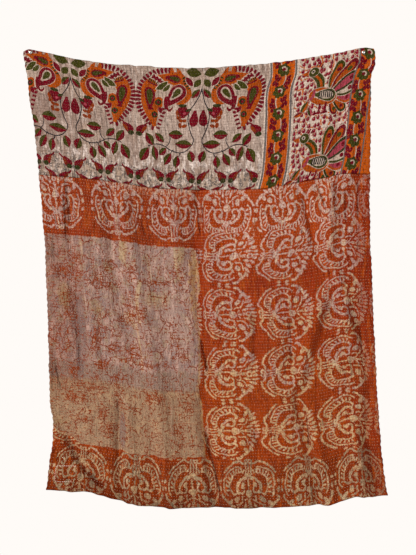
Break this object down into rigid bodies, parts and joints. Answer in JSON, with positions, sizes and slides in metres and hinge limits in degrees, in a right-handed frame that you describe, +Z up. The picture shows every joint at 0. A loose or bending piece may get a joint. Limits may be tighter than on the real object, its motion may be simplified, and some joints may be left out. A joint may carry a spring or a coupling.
{
  "type": "kantha quilt hanging from two wall pins",
  "caption": "Hanging quilt of two sewn sari-cloth panels, a printed one over an orange one, on two domed wall pins.",
  "frame": {"origin": "midway between the two pins, on the plane of the wall", "axes": "+Z up, +X to the right as seen from the front, +Y into the wall; the quilt faces -Y"},
  "size_m": [1.3355, 0.0812, 1.6868],
  "materials": {
    "printed_cloth": "slubby beige sari cloth printed with paisleys, leaves and an orange border, quilted in pale running stitch",
    "orange_cloth": "rust-orange sari cloth with pale resist-dyed medallions and a crackled field, quilted in pale running stitch",
    "pin_steel": "polished steel dome"
  },
  "bodies": {
    "root": {"upper_panel": "printed_cloth", "lower_panel": "orange_cloth", "pin_left": "pin_steel", "pin_right": "pin_steel"}
  },
  "joints": []
}
